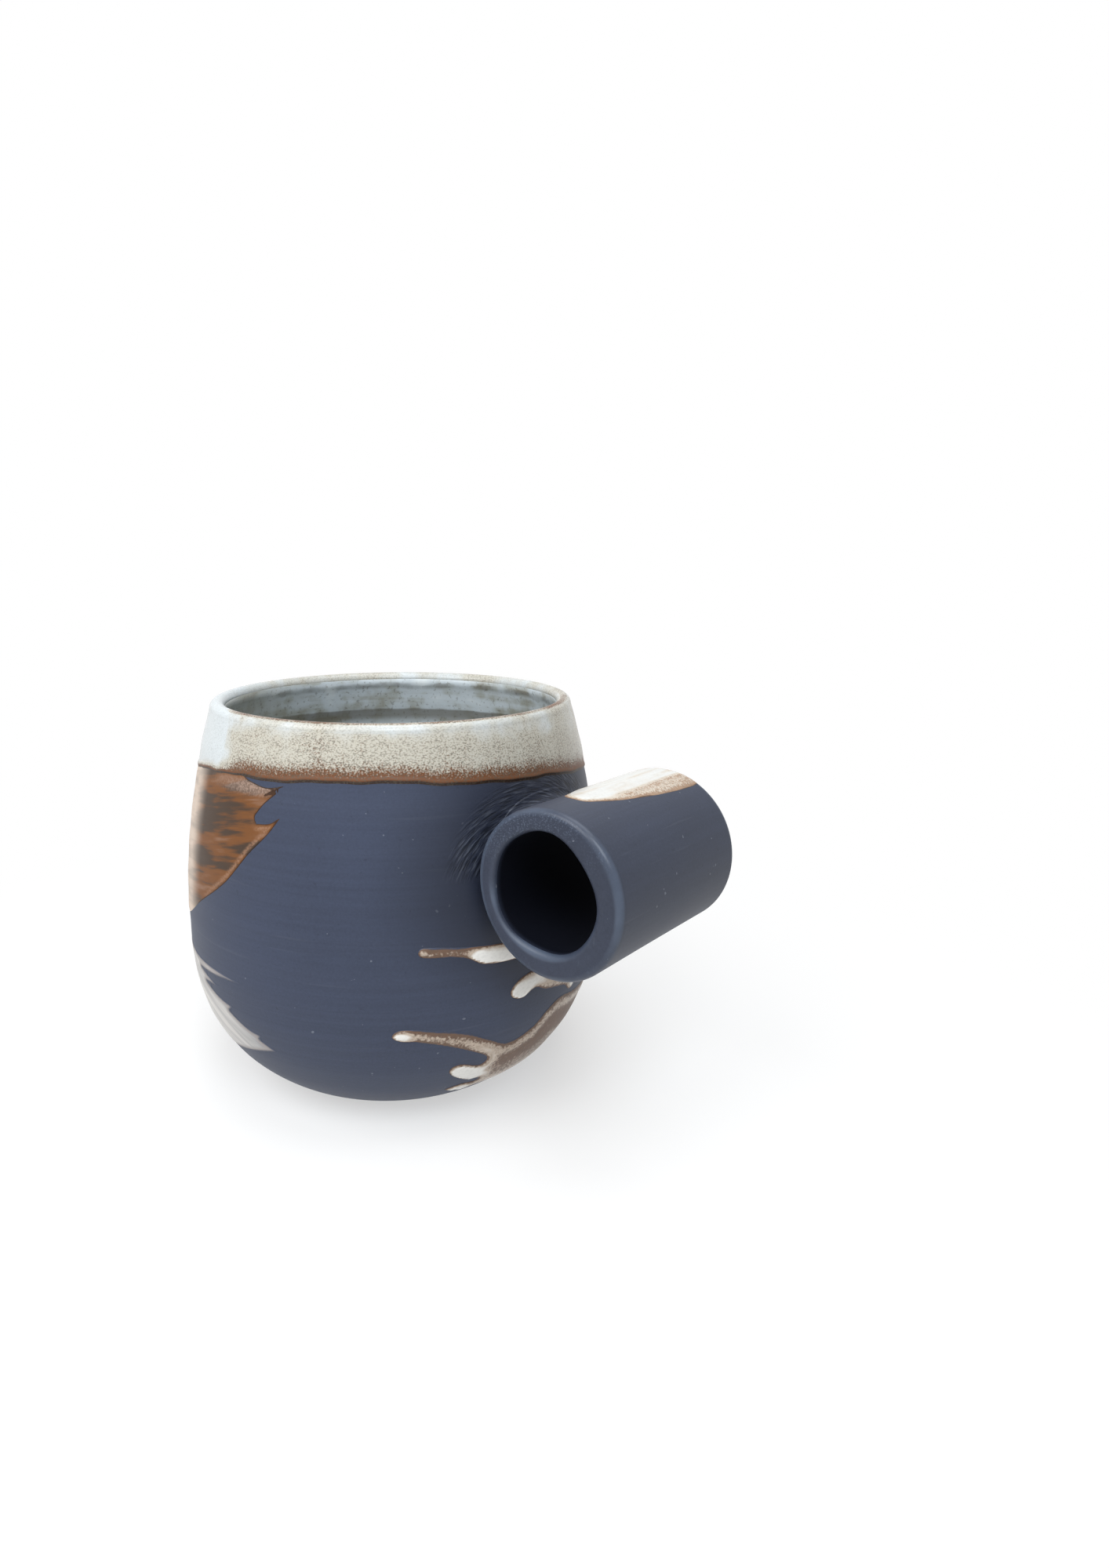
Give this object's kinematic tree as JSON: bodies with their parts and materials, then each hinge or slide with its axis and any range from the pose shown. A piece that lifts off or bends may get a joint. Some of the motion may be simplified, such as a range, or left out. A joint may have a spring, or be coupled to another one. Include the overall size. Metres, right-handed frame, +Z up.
{
  "type": "mug",
  "caption": "Hand-thrown stoneware mug with a rounded body, a hollow open tube luted to its side as a finger handle, a dipped rim and brushed and poured glaze.",
  "frame": {"origin": "middle of the flat foot, on the surface that the mug stands on", "axes": "+Z up the mug's axis; +X towards the handle; the handle's finger hole runs along Y"},
  "size_m": [0.1254, 0.0972, 0.088],
  "materials": {
    "stained_clay": "matte unglazed stoneware, stained navy",
    "clay_slip": "matte dried slip",
    "rim_glaze": "satin cream glaze with fine dark speckle, breaking brown where thin",
    "liner_glaze": "satin grey-blue glaze with brown-green mottling",
    "brushed_glaze": "thin brown brushed glaze",
    "poured_glaze": "thin tan glaze, pale where it gathered"
  },
  "bodies": {
    "root": {"cup_body": "stained_clay", "handle_tube": "stained_clay", "luting_slip": "clay_slip", "upper_joint_coil": "stained_clay", "lower_joint_coil": "stained_clay", "liner_glaze": "liner_glaze", "rim_glaze": "rim_glaze", "handle_glaze": "rim_glaze", "upper_brushed_glaze": "brushed_glaze", "lower_brushed_glaze": "poured_glaze", "side_run": "poured_glaze", "upper_run": "poured_glaze", "poured_glaze": "poured_glaze"}
  },
  "joints": []
}
